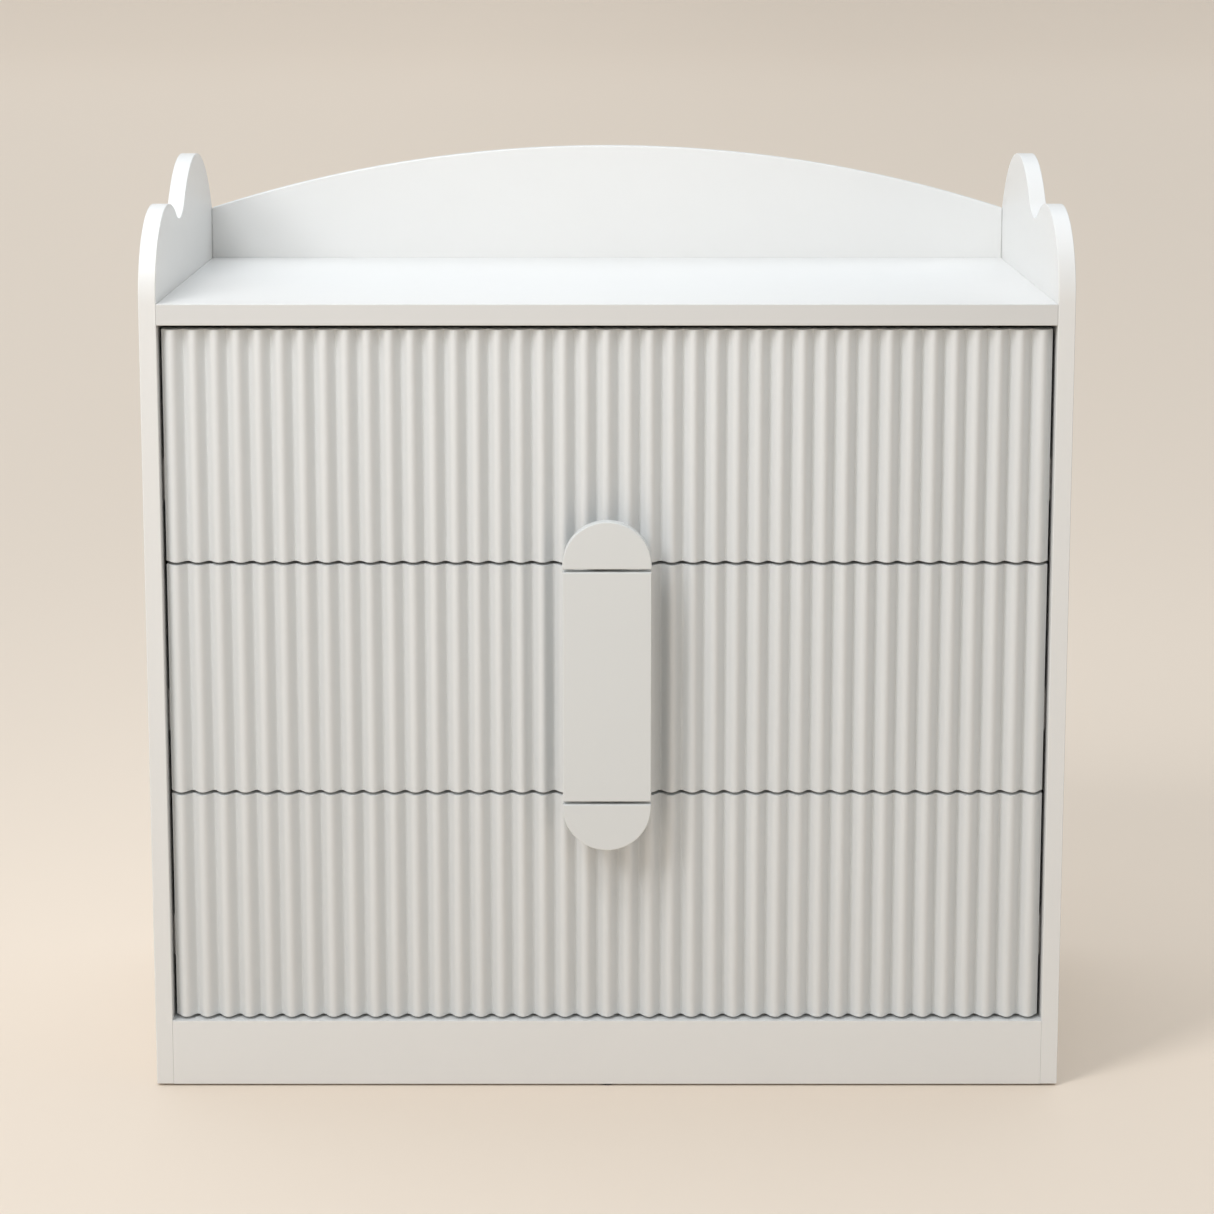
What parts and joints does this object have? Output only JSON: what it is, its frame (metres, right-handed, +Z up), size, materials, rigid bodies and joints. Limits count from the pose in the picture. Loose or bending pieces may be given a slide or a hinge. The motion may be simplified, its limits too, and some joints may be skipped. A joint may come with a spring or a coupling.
{
  "type": "changing table",
  "caption": "Chest of reeded drawers under an open changing tray with scalloped side guards, an arched back board and a capsule-shaped handle split between the drawers.",
  "frame": {"origin": "middle of the bounding box on the floor", "axes": "+X to the right across the fronts, the drawers open towards -Y, +Z up"},
  "size_m": [0.96, 0.553, 0.9675],
  "materials": {
    "lacquer": "satin white lacquer on fibreboard",
    "reeded_lacquer": "matt light warm grey lacquer on milled fibreboard",
    "handle_lacquer": "matt light warm grey lacquer",
    "box_board": "white melamine",
    "rear_board": "white-faced hardboard",
    "rail_steel": "zinc-plated sheet steel",
    "fixing_steel": "zinc-plated",
    "beech": "plain beech",
    "glide_plastic": "moulded"
  },
  "bodies": {
    "cabinet": {"left_side_panel": "lacquer", "right_side_panel": "lacquer", "changing_top": "lacquer", "arched_back_board": "lacquer", "rear_panel": "rear_board", "bottom_panel": "lacquer", "front_plinth": "lacquer", "rear_plinth": "lacquer", "plinth_brace": "lacquer", "corner_blocks": "beech", "floor_glides": "glide_plastic", "cam_locks": "fixing_steel", "cam_bolts": "fixing_steel", "wood_dowels": "beech", "back_board_screws": "fixing_steel", "rear_panel_pins": "fixing_steel", "wall_brackets": "fixing_steel", "bracket_screws": "fixing_steel", "cabinet_rail_screws": "fixing_steel", "top_cabinet_rails": "rail_steel", "middle_cabinet_rails": "rail_steel", "bottom_cabinet_rails": "rail_steel"},
    "top_drawer": {"top_drawer_front": "reeded_lacquer", "top_box_front": "box_board", "top_box_left": "box_board", "top_box_right": "box_board", "top_box_back": "box_board", "top_box_bottom": "box_board", "top_drawer_rails": "rail_steel", "top_handle_plate": "handle_lacquer", "top_handle_neck": "handle_lacquer", "top_drawer_screws": "fixing_steel"},
    "top_rail_slides": {"top_middle_rails": "rail_steel"},
    "middle_drawer": {"middle_drawer_front": "reeded_lacquer", "middle_box_front": "box_board", "middle_box_left": "box_board", "middle_box_right": "box_board", "middle_box_back": "box_board", "middle_box_bottom": "box_board", "middle_drawer_rails": "rail_steel", "middle_handle_plate": "handle_lacquer", "middle_handle_neck": "handle_lacquer", "middle_drawer_screws": "fixing_steel"},
    "middle_rail_slides": {"middle_middle_rails": "rail_steel"},
    "bottom_drawer": {"bottom_drawer_front": "reeded_lacquer", "bottom_box_front": "box_board", "bottom_box_left": "box_board", "bottom_box_right": "box_board", "bottom_box_back": "box_board", "bottom_box_bottom": "box_board", "bottom_drawer_rails": "rail_steel", "bottom_handle_plate": "handle_lacquer", "bottom_handle_neck": "handle_lacquer", "bottom_drawer_screws": "fixing_steel"},
    "bottom_rail_slides": {"bottom_middle_rails": "rail_steel"}
  },
  "joints": [
    {"name": "top_drawer_slide", "type": "slide", "parent": "cabinet", "child": "top_drawer", "axis": [0, -1, 0], "range_m": [0, 0.38]},
    {"name": "top_rail_slide", "type": "slide", "parent": "cabinet", "child": "top_rail_slides", "axis": [0, -1, 0], "range_m": [0, 0.19]},
    {"name": "middle_drawer_slide", "type": "slide", "parent": "cabinet", "child": "middle_drawer", "axis": [0, -1, 0], "range_m": [0, 0.38]},
    {"name": "middle_rail_slide", "type": "slide", "parent": "cabinet", "child": "middle_rail_slides", "axis": [0, -1, 0], "range_m": [0, 0.19]},
    {"name": "bottom_drawer_slide", "type": "slide", "parent": "cabinet", "child": "bottom_drawer", "axis": [0, -1, 0], "range_m": [0, 0.38]},
    {"name": "bottom_rail_slide", "type": "slide", "parent": "cabinet", "child": "bottom_rail_slides", "axis": [0, -1, 0], "range_m": [0, 0.19]}
  ],
  "couplings": [
    {"joint": "top_rail_slide", "follows": "top_drawer_slide", "ratio": 0.5},
    {"joint": "middle_rail_slide", "follows": "middle_drawer_slide", "ratio": 0.5},
    {"joint": "bottom_rail_slide", "follows": "bottom_drawer_slide", "ratio": 0.5}
  ]
}
